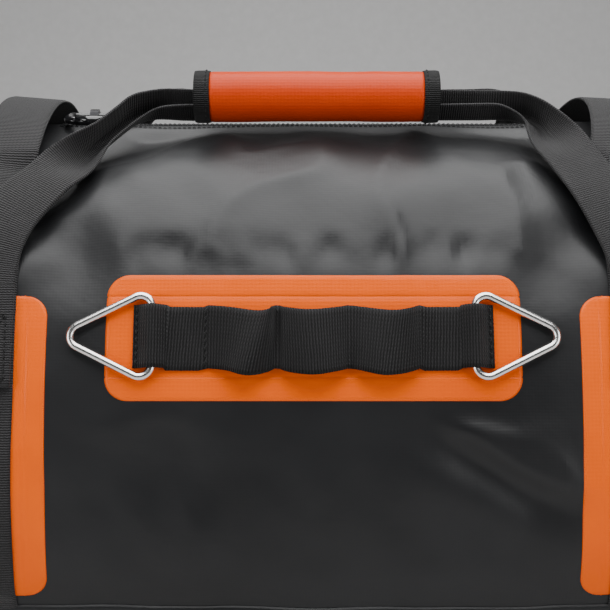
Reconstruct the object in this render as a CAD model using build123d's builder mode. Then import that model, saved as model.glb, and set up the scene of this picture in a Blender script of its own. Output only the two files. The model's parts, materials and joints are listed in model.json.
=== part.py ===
from build123d import *
import os
from math import atan2, cos, degrees, radians, sin, sqrt, tan

# Duffel-shaped ballast bag in coated tarpaulin, in millimetres. X runs along the bag, -Y is the front, +Z is up,
# and the origin is the middle of the base panel's underside.

# the bag's round section, from the middle of the floor to the crown
bag_length = 620
floor_half = 135
corner_r = 70
side_r = 388
side_turn = 30
shoulder_r = 144
shoulder_turn = 40
crown_turn = 90 - side_turn - shoulder_turn

# cloth
tarp = 1.4
base_t = 2.4
patch_t = 0.8
webbing_t = 1.6
webbing_w = 40
gap = 0.4

# bands over the bag and the patches under them
band_x = 207
band_t = 2.4
base_top = 48
side_patch_w = 80
side_patch_low = 56
side_patch_up = 24
band_loose_lean = 58
band_slack = 18

# centre patch and daisy chain
patch_lean = 22
patch_l = 260
patch_h = 80
patch_corner = 14
cell = 45
chain_cells = 5
loop_rise = 11
tack_half = 1.6

# triangle rings
wire_r = 2.5
ring_half = 25.5
ring_long = 51
ring_bend = 7.5
bar_x = 100.5
tunnel_r = wire_r + 0.8

# handles
anchor_lean = 25.2
sewn_length = 54
strap_t = 2.0
strap_w = 38
grip_w = 24
grip_t = 6
grip_y = 46
lift_lean = 54
# the corners of each strap's route: how far from the middle it turns to the grip, and how far up it turns inwards
turn_x = {"left": 118, "right": 152}
turn_run = {"left": 45, "right": 28}
low_bend = 110
high_bend = 34
wrap_half = 77
wrap_r = 18
wrap_t = 1.6
binding_w = 10

# zip
zip_left = -178.4
zip_right = 152.4
slot_half = 11
tooth_pitch = 3.2
tooth_l = 1.7
tooth_h = 3.4
teeth_gap = 0.9
bead_in = 4.2
bead_out = 6.0
tape_out = 26
slider_half = 12
slider_w = 17.2
plate_t = 2.0
slider_x = -164
bail_lift = 3.9
lug_w = 6
puller_r = 2.2
puller_bar_r = 3.2
puller_long = 28
puller_half = 18
puller_corner = 10
puller_turn = 86
puller_tilt = 5.5

# end trim
piping_r = 2.5
end_patch_l = 176
end_patch_h = 60
end_z = 190
grab_half = 60
grab_rise = 30

# inside
board_t = 3
pouch_l = 138
pouch_w = 290
pouch_h = 66
pouch_pitch = 146
pouch_count = 4

half_depth = floor_half + corner_r
side_cy = half_depth - side_r
side_cz = base_t + corner_r
shoulder_cy = side_cy + (side_r - shoulder_r) * cos(radians(side_turn))
shoulder_cz = side_cz + (side_r - shoulder_r) * sin(radians(side_turn))
crown_extra = shoulder_cy / sin(radians(crown_turn))
crown_r = shoulder_r + crown_extra
crown_top = shoulder_cz - crown_extra * cos(radians(crown_turn)) + crown_r

faces = {"front": -1, "rear": 1}
ends = {"left": -1, "right": 1}

os.makedirs("parts", exist_ok=True)


def save(piece, name):
    piece.part.label = name
    export_step(piece.part, f"parts/{name}.step")


def section(grow):
    """The bag's section, grown outwards, as a sketch with y across and z up."""
    with BuildSketch() as outline:
        with BuildLine():
            floor = Line((0, base_t - grow), (floor_half, base_t - grow))
            corner = JernArc(floor @ 1, floor % 1, corner_r + grow, 90)
            side = JernArc(corner @ 1, corner % 1, side_r + grow, side_turn)
            shoulder = JernArc(side @ 1, side % 1, shoulder_r + grow, shoulder_turn)
            JernArc(shoulder @ 1, shoulder % 1, crown_r + grow, crown_turn)
            mirror(about=Plane.YZ)
        make_face()
    return outline.sketch


def sleeve(inner, outer, low_x, high_x):
    """A layer of cloth round the whole section, between two offsets from the body's outside."""
    with BuildPart() as layer:
        with BuildSketch(Plane.YZ.offset(low_x)):
            add(section(outer))
            add(section(inner), mode=Mode.SUBTRACT)
        extrude(amount=high_x - low_x)
    return layer.part


def lean_point(lean, grow=0):
    """Depth and height of the section where its normal leans up by this many degrees."""
    on_side = lean <= side_turn
    centre_y = side_cy if on_side else shoulder_cy
    centre_z = side_cz if on_side else shoulder_cz
    reach = (side_r if on_side else shoulder_r) + grow
    return centre_y + reach * cos(radians(lean)), centre_z + reach * sin(radians(lean))


def face_plane(side, lean, grow=0):
    """Plane on the front or rear face: x along the bag, y up the slope, z outwards."""
    y, z = lean_point(lean, grow)
    out = (0, side * cos(radians(lean)), sin(radians(lean)))
    return Plane(origin=(0, side * y, z), x_dir=(-side, 0, 0), z_dir=out)


def face_prism(side, centre_x, width, low_z, high_z, corner):
    """A rounded prism that runs out through one face between two heights."""
    upright = Plane(origin=(0, side * 30, 0), x_dir=(-side, 0, 0), z_dir=(0, side, 0))
    with BuildPart() as prism:
        with BuildSketch(upright):
            with Locations((-side * centre_x, (low_z + high_z) / 2)):
                RectangleRounded(width, high_z - low_z, corner)
        extrude(amount=half_depth)
    return prism.part


def face_layer(side, inner, outer, centre_x, width, low_z, high_z, corner):
    """A rounded piece of cloth that lies on one face."""
    around = sleeve(inner, outer, centre_x - width / 2 - 1, centre_x + width / 2 + 1)
    return around & face_prism(side, centre_x, width, low_z, high_z, corner)


# ---- body ----

with BuildPart() as body_wrap:
    add(sleeve(-tarp, 0, -bag_length / 2, bag_length / 2))
    with BuildSketch(Plane.XY.offset(crown_top - 30)):
        with Locations(((zip_left + zip_right) / 2, 0)):
            RectangleRounded(zip_right - zip_left + 6, 2 * slot_half, 4)
    extrude(amount=60, mode=Mode.SUBTRACT)
save(body_wrap, "body_wrap")

for end, way in ends.items():
    with BuildPart() as end_panel:
        with BuildSketch(Plane.YZ.offset(way * (bag_length / 2 - tarp))):
            add(section(-tarp - 0.02))
        extrude(amount=way * tarp)
    save(end_panel, f"end_panel_{end}")

    with BuildPart() as piping:
        with BuildSketch(Plane.YZ.offset(way * (bag_length / 2 + 0.02))):
            add(section(1))
            add(section(1 - 2 * piping_r), mode=Mode.SUBTRACT)
        extrude(amount=way * 2 * piping_r)
        fillet(piping.edges().filter_by(Plane.YZ), radius=piping_r * 0.85)
    save(piping, f"end_piping_{end}")

with BuildPart() as base_panel:
    add(sleeve(0, base_t, -bag_length / 2 + 6, bag_length / 2 - 6))
    with BuildSketch(Plane.XY.offset(base_top)):
        Rectangle(2 * bag_length, 3 * half_depth)
    extrude(amount=crown_top, mode=Mode.SUBTRACT)
save(base_panel, "base_panel")

# ---- patches and bands ----

patch_z = lean_point(patch_lean)[1]
patch_rise = patch_h / 2 * cos(radians(patch_lean))
side_patch_top = patch_z + side_patch_up

for face, side in faces.items():
    with BuildPart() as centre_patch:
        add(face_layer(side, 0, patch_t, 0, patch_l, patch_z - patch_rise, patch_z + patch_rise, patch_corner))
    save(centre_patch, f"{face}_patch")
    for end, way in ends.items():
        with BuildPart() as side_patch:
            add(
                face_layer(
                    side, 0, patch_t, way * band_x, side_patch_w, side_patch_low, side_patch_top, patch_corner
                )
            )
        save(side_patch, f"{face}_side_patch_{end}")

loose_y, loose_z = lean_point(band_loose_lean)
rise = (sin(radians(band_loose_lean)), cos(radians(band_loose_lean)))


def band_arch(grow):
    """The line of a band's loose stretch over the crown, grown outwards."""
    y = loose_y + grow * rise[1]
    z = loose_z + grow * rise[0]
    return Spline(
        (-y, z), (0, crown_top + band_slack + grow), (y, z), tangents=[rise, (rise[0], -rise[1])]
    )


for end, way in ends.items():
    low_x = way * band_x - webbing_w / 2
    with BuildPart() as band:
        add(sleeve(0, band_t, low_x, low_x + webbing_w))
        with BuildSketch(Plane.XY.offset(-20)):
            Rectangle(2 * bag_length, 3 * half_depth)
        extrude(amount=base_top + 20, mode=Mode.SUBTRACT)
        for side in faces.values():
            patch = (way * band_x, side_patch_w, side_patch_low, side_patch_top, patch_corner)
            add(face_layer(side, -1, patch_t, *patch), mode=Mode.SUBTRACT)
        with BuildSketch(Plane.XY.offset(loose_z)):
            Rectangle(2 * bag_length, 3 * half_depth)
        extrude(amount=crown_top, mode=Mode.SUBTRACT)
        with BuildSketch(Plane.YZ.offset(low_x)):
            with BuildLine():
                under = band_arch(0)
                over = band_arch(band_t)
                Line(under @ 0, over @ 0)
                Line(under @ 1, over @ 1)
            make_face()
        extrude(amount=webbing_w)
    save(band, f"band_{end}")

# ---- daisy chain ----

chain_half = chain_cells * cell / 2
chain_low = patch_t
chain_high = patch_t + webbing_t
bar_lift = patch_t + gap + wire_r
loop_half = cell / 2 - tack_half
loop_r = (loop_half**2 + loop_rise**2) / (2 * loop_rise)
loop_outer_half = sqrt(2 * (loop_r + webbing_t) * loop_rise - loop_rise**2)


def chain_profile():
    """Edge-on outline of the chain: x along the bag, y away from the patch."""
    ramp = tunnel_r + webbing_t + 4
    outer_r = tunnel_r + webbing_t
    with BuildSketch() as profile:
        with BuildLine():
            for way in (-1, 1):
                bar = way * bar_x
                flat_end = way * (cell + loop_half)
                ThreePointArc(
                    (bar - tunnel_r, bar_lift), (bar, bar_lift + tunnel_r), (bar + tunnel_r, bar_lift)
                )
                ThreePointArc((bar - outer_r, bar_lift), (bar, bar_lift + outer_r), (bar + outer_r, bar_lift))
                Line((bar - tunnel_r, bar_lift), (bar - tunnel_r, chain_low))
                Line((bar + tunnel_r, bar_lift), (bar + tunnel_r, chain_low))
                Line((bar - outer_r, bar_lift), (bar - ramp, chain_high))
                Line((bar + outer_r, bar_lift), (bar + ramp, chain_high))
                Line((bar + way * tunnel_r, chain_low), (way * chain_half, chain_low))
                Line((way * chain_half, chain_low), (way * chain_half, chain_high))
                Line((way * chain_half, chain_high), (bar + way * ramp, chain_high))
                Line((bar - way * tunnel_r, chain_low), (flat_end, chain_low))
                Line((bar - way * ramp, chain_high), (way * (cell + loop_outer_half), chain_high))
                tack = way * cell / 2
                Line((tack - tack_half, chain_low), (tack + tack_half, chain_low))
                top_half = cell / 2 - loop_outer_half
                Line((tack - top_half, chain_high), (tack + top_half, chain_high))
            for middle in (-cell, 0, cell):
                ThreePointArc(
                    (middle - loop_half, chain_low),
                    (middle, chain_low + loop_rise),
                    (middle + loop_half, chain_low),
                )
                ThreePointArc(
                    (middle - loop_outer_half, chain_high),
                    (middle, chain_high + loop_rise),
                    (middle + loop_outer_half, chain_high),
                )
        make_face()
    return profile.sketch


stitch_rows = [1.6 - chain_half, *[(k - 1.5) * cell for k in range(4)], chain_half - 1.6]
stitch_pitch = 4.7

for face, side in faces.items():
    slope = face_plane(side, patch_lean)
    edge_on = Plane(
        origin=slope.origin - slope.y_dir * (webbing_w / 2), x_dir=slope.x_dir, z_dir=-slope.y_dir
    )
    with BuildPart() as chain:
        with BuildSketch(edge_on):
            add(chain_profile())
        extrude(amount=-webbing_w)
    save(chain, f"{face}_chain")

    with BuildPart() as stitching:
        with BuildSketch(face_plane(side, patch_lean, chain_high)):
            for row in stitch_rows:
                with Locations((row, 0)):
                    with GridLocations(1, stitch_pitch, 1, 8):
                        SlotOverall(3.2, 0.7, rotation=90)
        extrude(amount=0.4)
    save(stitching, f"{face}_chain_stitching")

# ---- triangle rings ----


def ring_line(slope, way):
    """Centre line of a ring that lies along one end of the chain, its base bar across the webbing."""
    corner_h = ring_half - ring_bend
    lifted = slope.offset(bar_lift)
    with BuildSketch(lifted) as eye:
        with BuildLine():
            Polyline(
                (way * (bar_x + ring_bend), corner_h),
                (way * (bar_x + ring_bend), -corner_h),
                (way * (bar_x + ring_long - ring_bend), 0),
                close=True,
            )
        make_face()
        offset(amount=ring_bend)
    return eye.sketch.face().outer_wire()


for face, side in faces.items():
    slope = face_plane(side, patch_lean)
    for end, way in ends.items():
        line = ring_line(slope, -side * way)
        with BuildPart() as ring:
            with BuildSketch(Plane(origin=line @ 0, z_dir=line % 0)):
                Circle(wire_r)
            sweep(path=line)
        save(ring, f"{face}_ring_{end}")

# ---- handles ----

sheet_grow = band_t + gap + strap_t / 2
side_run = (side_r + sheet_grow) * radians(side_turn - anchor_lean)
shoulder_run = (shoulder_r + sheet_grow) * radians(lift_lean - side_turn)
lift_y, lift_z = lean_point(lift_lean, sheet_grow)
air_run = (lift_y - grip_y) / sin(radians(lift_lean))
full_run = side_run + shoulder_run + air_run
grip_z = lift_z + air_run * cos(radians(lift_lean))


def sheet_point(run):
    """Depth, height and lean of the strap's mid-surface at this run up from its sewn end."""
    if run <= side_run:
        lean = anchor_lean + degrees(run / (side_r + sheet_grow))
        return *lean_point(lean, sheet_grow), lean
    if run <= side_run + shoulder_run:
        lean = side_turn + degrees((run - side_run) / (shoulder_r + sheet_grow))
        return *lean_point(lean, sheet_grow), lean
    past = run - side_run - shoulder_run
    y = lift_y - past * sin(radians(lift_lean))
    return y, lift_z + past * cos(radians(lift_lean)), lift_lean


def strap_plane(run, x, across, along):
    """Plane across the front strap: x_dir over its width, z_dir along it towards the grip."""
    y, z, lean = sheet_point(run)
    up = Vector(0, sin(radians(lean)), cos(radians(lean)))
    return Plane(
        origin=(x, -y, z),
        x_dir=Vector(along, 0, 0) - up * across,
        z_dir=Vector(across, 0, 0) + up * along,
    )


def strap_route(end):
    """Places in the unrolled sheet and the slant there: straight up, slanting inwards, then along the grip."""
    corner_x, corner_run = turn_x[end], turn_run[end]
    slant = atan2(band_x - corner_x, full_run - corner_run)
    low_start = corner_run - low_bend * tan(slant / 2)
    rest = radians(90) - slant
    grip_x = corner_x - high_bend * tan(rest / 2)
    route = [(band_x, gap, 0.0)]
    for k in range(4):
        a = slant * k / 3
        route.append((band_x - low_bend * (1 - cos(a)), low_start + low_bend * sin(a), a))
    bend = []
    for k in range(6):
        a = slant + rest * k / 5
        bend.append((grip_x + high_bend * cos(a), full_run - high_bend * (1 - sin(a)), a))
    (x0, run0, _), (x1, run1, _) = route[-1], bend[0]
    for k in (1, 2, 3):
        route.append((x0 + (x1 - x0) * k / 4, run0 + (run1 - run0) * k / 4, slant))
    return route + bend


def strap_sections(end):
    """Planes, widths and thicknesses from the sewn end to the grip, drawn on the right-hand side."""
    sections = []
    for x, run, slant in strap_route(end):
        share = run / full_run
        width = strap_w + (grip_w - strap_w) * share
        thick = strap_t + (grip_t - strap_t) * share**3
        sections.append((strap_plane(run, x, -sin(slant), cos(slant)), width, thick))
    return sections


def handle_half(end):
    """One strap of the front handle, on the right-hand side, up to the start of the grip."""
    with BuildPart() as half:
        for plane, width, thick in strap_sections(end):
            with BuildSketch(plane):
                RectangleRounded(width, thick, thick * 0.3)
        loft()
    return half.part


grip_from = -strap_route("left")[-1][0]
grip_to = strap_route("right")[-1][0]
with BuildPart() as front_handle:
    add(handle_half("right"))
    add(mirror(handle_half("left"), about=Plane.YZ, mode=Mode.PRIVATE))
    with BuildSketch(strap_plane(full_run, grip_to, -1, 0)):
        RectangleRounded(grip_w, grip_t, grip_t * 0.3)
    extrude(amount=grip_to - grip_from)
save(front_handle, "front_handle_strap")

with BuildPart() as rear_handle:
    add(mirror(front_handle.part, about=Plane.XZ, mode=Mode.PRIVATE))
save(rear_handle, "rear_handle_strap")

anchor_z = lean_point(anchor_lean)[1]
sewn_z = lean_point(anchor_lean - degrees(sewn_length / side_r))[1]
for face, side in faces.items():
    for end, way in ends.items():
        with BuildPart() as sewn_end:
            add(
                face_layer(side, band_t, band_t + strap_t, way * band_x, strap_w, sewn_z, anchor_z - gap, 1)
            )
        save(sewn_end, f"{face}_handle_end_{end}")

grip_slope = (0, sin(radians(lift_lean)), cos(radians(lift_lean)))
grip_plane = Plane(origin=(0, -grip_y, grip_z), x_dir=grip_slope, z_dir=(1, 0, 0))
with BuildPart() as grip_pad:
    with BuildSketch(grip_plane.offset(-wrap_half)):
        Circle(wrap_r - wrap_t - 0.05)
        RectangleRounded(grip_w + 0.4, grip_t + 0.4, grip_t * 0.3, mode=Mode.SUBTRACT)
    extrude(amount=2 * wrap_half)
save(grip_pad, "grip_pad")

with BuildPart() as handle_wrap:
    with BuildSketch(grip_plane.offset(-wrap_half)):
        Circle(wrap_r)
        Circle(wrap_r - wrap_t, mode=Mode.SUBTRACT)
    extrude(amount=2 * wrap_half)
save(handle_wrap, "handle_wrap")

with BuildPart() as wrap_flap:
    with BuildSketch(grip_plane.offset(-wrap_half + 2)):
        with BuildLine():
            inner = CenterArc((0, 0), wrap_r + 0.03, 150, 80)
            outer = CenterArc((0, 0), wrap_r + wrap_t, 150, 80)
            Line(inner @ 0, outer @ 0)
            Line(inner @ 1, outer @ 1)
        make_face()
    extrude(amount=2 * wrap_half - 4)
save(wrap_flap, "wrap_flap")

for end, way in ends.items():
    with BuildPart() as binding:
        with BuildSketch(grip_plane.offset(way * (wrap_half + 0.03))):
            Circle(wrap_r + 0.6)
            Circle(wrap_r - wrap_t, mode=Mode.SUBTRACT)
        extrude(amount=way * binding_w)
    save(binding, f"wrap_binding_{end}")

# ---- zip ----

tape_z = crown_top - tarp - 0.4
tooth_low = tape_z - tooth_h / 2
tooth_high = tape_z + tooth_h / 2
zip_length = zip_right - zip_left
zip_middle = (zip_left + zip_right) / 2
tooth_count = int(zip_length / tooth_pitch)

for face, side in faces.items():
    with BuildPart() as tape:
        add(sleeve(-tarp - 0.8, -tarp - 0.02, zip_left - 2, zip_right + 2))
        with BuildSketch(Plane.XY.offset(crown_top - 30)):
            with Locations((zip_middle, side * (bead_out + tape_out) / 2)):
                Rectangle(zip_length + 10, tape_out - bead_out)
        extrude(amount=60, mode=Mode.INTERSECT)
    save(tape, f"zip_tape_{face}")

    with BuildPart() as teeth:
        with BuildSketch(Plane.XY.offset(tooth_low)):
            with Locations((zip_middle, side * (bead_in + bead_out) / 2)):
                Rectangle(zip_length - 1, bead_out - bead_in)
            with Locations((zip_middle + side * tooth_pitch / 4, side * (teeth_gap + bead_in + 0.2) / 2)):
                with GridLocations(tooth_pitch, 1, tooth_count - 1, 1):
                    Rectangle(tooth_l, bead_in + 0.2 - teeth_gap)
        extrude(amount=tooth_h)
    save(teeth, f"zip_teeth_{face}")

for end, edge in {"left": zip_left - 0.2, "right": zip_right + 0.2}.items():
    way = ends[end]
    with BuildPart() as stop:
        with BuildSketch(Plane.XY.offset(tooth_low - 0.4)):
            with Locations((edge + way * 1.1, 0)):
                RectangleRounded(2.2, 2 * bead_out - 0.4, 0.6)
        extrude(amount=tooth_h + 0.8)
    save(stop, f"zip_stop_{end}")

plate_low = tooth_high + gap
puller_axis = Vector(sin(radians(puller_turn)), cos(radians(puller_turn)), 0)
bar_z = plate_low + plate_t + bail_lift
with BuildPart() as zip_slider:
    with BuildSketch(Plane.XY.offset(plate_low)):
        with Locations((slider_x, 0)):
            RectangleRounded(2 * slider_half, slider_w, 5)
    extrude(amount=plate_t)
    with BuildSketch(Plane.XY.offset(tooth_low - gap)):
        with Locations((slider_x, 0)):
            RectangleRounded(2 * slider_half - 2, slider_w - 3, 5)
    extrude(amount=-1.6)
    with BuildSketch(Plane.XY.offset(tooth_low - gap)):
        with Locations((slider_x, 0)):
            Rectangle(slider_half, 2 * (teeth_gap - gap))
    extrude(amount=tooth_h + 2 * gap)
    with BuildSketch(Plane.XY.offset(plate_low)):
        with Locations((slider_x, slider_w / 2 - 0.9), (slider_x, 0.9 - slider_w / 2)):
            Rectangle(slider_half, 1.8)
    extrude(amount=-1.2)
    lug_side = Plane(origin=(slider_x - lug_w / 2, 0, plate_low + plate_t), x_dir=(0, 1, 0), z_dir=(1, 0, 0))
    with BuildSketch(lug_side):
        with BuildLine():
            foot = Line((-7, 0), (7, 0))
            ThreePointArc(foot @ 0, (0, bail_lift + 5), foot @ 1)
        make_face()
    extrude(amount=lug_w)
    with BuildSketch(Plane(origin=(slider_x, 0, bar_z), x_dir=(0, 0, 1), z_dir=puller_axis)):
        Circle(puller_r + 0.5)
    extrude(amount=20, both=True, mode=Mode.SUBTRACT)
save(zip_slider, "zip_slider")

level = Vector(cos(radians(puller_turn)), -sin(radians(puller_turn)), 0)
down = Vector(0, 0, -1)
puller_plane = Plane(
    origin=(slider_x, 0, bar_z),
    x_dir=level * cos(radians(puller_tilt)) + down * sin(radians(puller_tilt)),
    z_dir=level * sin(radians(puller_tilt)) - down * cos(radians(puller_tilt)),
)
with BuildSketch(puller_plane) as puller_eye:
    with Locations((puller_long / 2, 0)):
        RectangleRounded(puller_long, 2 * puller_half, puller_corner)
puller_line = puller_eye.sketch.face().outer_wire()
with BuildPart() as zip_puller:
    with BuildSketch(Plane(origin=puller_line @ 0, z_dir=puller_line % 0)):
        Circle(puller_r)
    sweep(path=puller_line)
    bar_half = puller_half - puller_corner + 3
    bar_end = puller_plane.origin + puller_plane.x_dir * puller_long - puller_plane.y_dir * bar_half
    with BuildSketch(Plane(origin=bar_end, z_dir=puller_plane.y_dir)):
        Circle(puller_bar_r)
    extrude(amount=2 * bar_half)
save(zip_puller, "zip_puller")

# ---- ends ----

for end, way in ends.items():
    outward = Plane(origin=(way * (bag_length / 2 + 0.02), 0, end_z), x_dir=(0, way, 0), z_dir=(way, 0, 0))
    with BuildPart() as end_patch:
        with BuildSketch(outward):
            RectangleRounded(end_patch_l, end_patch_h, patch_corner)
        extrude(amount=patch_t)
    save(end_patch, f"end_patch_{end}")

    patch_out = way * (bag_length / 2 + patch_t + 0.04)
    from_above = Plane(origin=(patch_out, 0, end_z - webbing_w / 2), x_dir=(0, way, 0))
    with BuildPart() as grab:
        with BuildSketch(from_above):
            with BuildLine():
                tab = grab_half + 22
                ThreePointArc((-grab_half, 0), (0, -grab_rise), (grab_half, 0))
                ThreePointArc(
                    (-grab_half - 1, -webbing_t), (0, -grab_rise - webbing_t), (grab_half + 1, -webbing_t)
                )
                for hand in (-1, 1):
                    Line((hand * grab_half, 0), (hand * tab, 0))
                    Line((hand * tab, 0), (hand * tab, -webbing_t))
                    Line((hand * tab, -webbing_t), (hand * (grab_half + 1), -webbing_t))
            make_face()
        extrude(amount=webbing_w)
    save(grab, f"grab_handle_{end}")

# ---- inside ----

floor_z = base_t + tarp + 0.1
with BuildPart() as base_board:
    with BuildSketch(Plane.XY.offset(floor_z)):
        RectangleRounded(bag_length - 24, 2 * floor_half - 10, 20)
    extrude(amount=board_t)
save(base_board, "base_board")

for k in range(pouch_count):
    middle = (k - (pouch_count - 1) / 2) * pouch_pitch
    with BuildPart() as pouch:
        with BuildSketch(Plane.XY.offset(floor_z + board_t + 0.1)):
            with Locations((middle, 0)):
                RectangleRounded(pouch_l, pouch_w, 22)
        extrude(amount=pouch_h)
        fillet(pouch.faces().sort_by(Axis.Z)[-1].edges(), radius=20)
        fillet(pouch.faces().sort_by(Axis.Z)[0].edges(), radius=12)
    save(pouch, f"sand_pouch_{k + 1}")
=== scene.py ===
import json
import math

import bmesh
import bpy
from mathutils import Matrix, Vector, noise
from mathutils.bvhtree import BVHTree

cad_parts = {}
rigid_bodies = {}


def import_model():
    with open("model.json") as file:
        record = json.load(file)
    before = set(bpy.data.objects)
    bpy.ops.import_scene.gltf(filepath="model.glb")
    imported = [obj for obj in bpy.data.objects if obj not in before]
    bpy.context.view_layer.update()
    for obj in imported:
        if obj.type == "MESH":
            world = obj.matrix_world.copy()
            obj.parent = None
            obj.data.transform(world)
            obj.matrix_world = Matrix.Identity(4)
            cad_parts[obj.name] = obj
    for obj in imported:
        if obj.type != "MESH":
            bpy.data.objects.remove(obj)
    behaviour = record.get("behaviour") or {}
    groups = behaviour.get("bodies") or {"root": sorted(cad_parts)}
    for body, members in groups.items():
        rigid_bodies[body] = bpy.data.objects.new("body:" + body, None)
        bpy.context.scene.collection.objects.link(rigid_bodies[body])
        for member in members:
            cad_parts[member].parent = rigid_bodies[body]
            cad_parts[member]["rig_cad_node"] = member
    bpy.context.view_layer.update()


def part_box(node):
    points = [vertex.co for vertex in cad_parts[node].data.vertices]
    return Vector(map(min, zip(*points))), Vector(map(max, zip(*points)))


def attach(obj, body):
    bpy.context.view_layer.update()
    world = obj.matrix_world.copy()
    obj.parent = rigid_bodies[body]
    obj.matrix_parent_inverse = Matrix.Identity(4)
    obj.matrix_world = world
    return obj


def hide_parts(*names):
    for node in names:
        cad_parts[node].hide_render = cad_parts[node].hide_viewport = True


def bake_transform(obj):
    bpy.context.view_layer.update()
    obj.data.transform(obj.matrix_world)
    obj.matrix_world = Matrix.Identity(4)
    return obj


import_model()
noise.seed_set(7)

MM = 0.001
ENDS = (("left", -1), ("right", 1))
FACES = (("front", 1), ("rear", -1))

# ---- the frame's places ----

wrap_low, wrap_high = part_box("body_wrap")
HALF_L = wrap_high.x
HALF_D = wrap_high.y
CROWN = wrap_high.z
BASE_T = wrap_low.z
patch_low, patch_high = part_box("front_patch")
band_low, band_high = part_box("band_right")
BAND_X = (band_low.x + band_high.x) / 2
WEB_W = band_high.x - band_low.x
BASE_TOP = band_low.z
side_low, side_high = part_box("front_side_patch_right")
tape_low, tape_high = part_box("zip_tape_front")

# the section's arcs, from the crown down: turn in degrees and radius
FLOOR = 135 * MM
CORNER_R = HALF_D - FLOOR
SIDE_R = 388 * MM
SHOULDER_R = 144 * MM
SIDE_TURN = math.radians(30)
SHOULDER_TURN = math.radians(40)
CROWN_TURN = math.radians(90) - SIDE_TURN - SHOULDER_TURN
SIDE_Y = HALF_D - SIDE_R
SIDE_Z = BASE_T + CORNER_R
SHOULDER_Y = SIDE_Y + (SIDE_R - SHOULDER_R) * math.cos(SIDE_TURN)
SHOULDER_Z = SIDE_Z + (SIDE_R - SHOULDER_R) * math.sin(SIDE_TURN)
CROWN_R = SHOULDER_R + SHOULDER_Y / math.sin(CROWN_TURN)
CROWN_Z = CROWN - CROWN_R
ARCS = [
    (CROWN_R, CROWN_TURN, 0.0, CROWN_Z),
    (SHOULDER_R, SHOULDER_TURN, SHOULDER_Y, SHOULDER_Z),
    (SIDE_R, SIDE_TURN, SIDE_Y, SIDE_Z),
    (CORNER_R, math.radians(90), FLOOR, SIDE_Z),
]
HALF_GIRTH = sum(r * turn for r, turn, _, _ in ARCS) + FLOOR

MIDDLE_Z = 165 * MM
PATCH_LEAN = math.radians(22)
ANCHOR_LEAN = math.radians(25.2)


def around(s):
    """Point and outward normal of the section at arc length s from the crown, down the front."""
    side = -1 if s >= 0 else 1
    left = abs(s)
    angle = math.radians(90)
    for radius, turn, cy, cz in ARCS:
        if left <= radius * turn:
            a = angle - left / radius
            ny, nz = math.cos(a), math.sin(a)
            return side * (cy + radius * ny), cz + radius * nz, side * ny, nz
        left -= radius * turn
        angle -= turn
    return side * (FLOOR - left), BASE_T, 0.0, -1.0


def run_of_lean(lean):
    """Arc length from the crown to where the normal leans up by this angle, below the crown arc."""
    if lean <= SIDE_TURN:
        return CROWN_R * CROWN_TURN + SHOULDER_R * SHOULDER_TURN + SIDE_R * (SIDE_TURN - lean)
    return CROWN_R * CROWN_TURN + SHOULDER_R * (math.radians(90) - CROWN_TURN - lean)


def run_of_height(z):
    """Arc length from the crown down to a height, by halving."""
    low, high = 0.0, HALF_GIRTH - FLOOR
    for _ in range(40):
        middle = (low + high) / 2
        if around(middle)[1] > z:
            low = middle
        else:
            high = middle
    return (low + high) / 2


PATCH_S = run_of_lean(PATCH_LEAN)
ANCHOR_S = run_of_lean(ANCHOR_LEAN)
BASE_S = run_of_height(BASE_TOP)


# ---- the handles' places ----

STRAP_LIFT = 3.8 * MM
SEWN = 54 * MM
LIFT_LEAN = math.radians(54)
grip_low, grip_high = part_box("handle_wrap")
GRIP_Y = -(grip_low.y + grip_high.y) / 2
GRIP_Z = (grip_low.z + grip_high.z) / 2
WRAP_HALF = (grip_high.x - grip_low.x) / 2
WRAP_R = (grip_high.y - grip_low.y) / 2
STRAP_W = 38 * MM
TURN_X = {-1: 118 * MM, 1: 152 * MM}
TURN_RUN = {-1: 45 * MM, 1: 28 * MM}
LOW_BEND = 110 * MM
HIGH_BEND = 34 * MM


def arc_point(lean, grow):
    on_side = lean <= SIDE_TURN
    cy, cz, radius = (SIDE_Y, SIDE_Z, SIDE_R) if on_side else (SHOULDER_Y, SHOULDER_Z, SHOULDER_R)
    return cy + (radius + grow) * math.cos(lean), cz + (radius + grow) * math.sin(lean)


SIDE_RUN = (SIDE_R + STRAP_LIFT) * (SIDE_TURN - ANCHOR_LEAN)
SHOULDER_RUN = (SHOULDER_R + STRAP_LIFT) * (LIFT_LEAN - SIDE_TURN)
LIFT_Y, LIFT_Z = arc_point(LIFT_LEAN, STRAP_LIFT)
AIR_RUN = (LIFT_Y - GRIP_Y) / math.sin(LIFT_LEAN)
FULL_RUN = SIDE_RUN + SHOULDER_RUN + AIR_RUN


def smooth(a, b, value):
    t = min(max((value - a) / (b - a), 0.0), 1.0)
    return t * t * (3 - 2 * t)


def bump(value, centre, half):
    """1 at the centre, 0 from half away on, smooth."""
    return 1 - smooth(0, half, abs(value - centre))


def hill(value):
    return math.exp(-(value**2))


def ripple(x, s, scale, seed):
    return noise.noise(Vector((x / scale, s / scale, seed)))


def beside_strap(x, s):
    """How far a place lies inwards of a handle strap's slanted run, and above its sewn end."""
    hand = 1 if x > 0 else -1
    run = ANCHOR_S - abs(s)
    slope = (BAND_X - TURN_X[hand]) / (FULL_RUN - TURN_RUN[hand])
    return BAND_X - (run - TURN_RUN[hand]) * slope - abs(x), run


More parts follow.
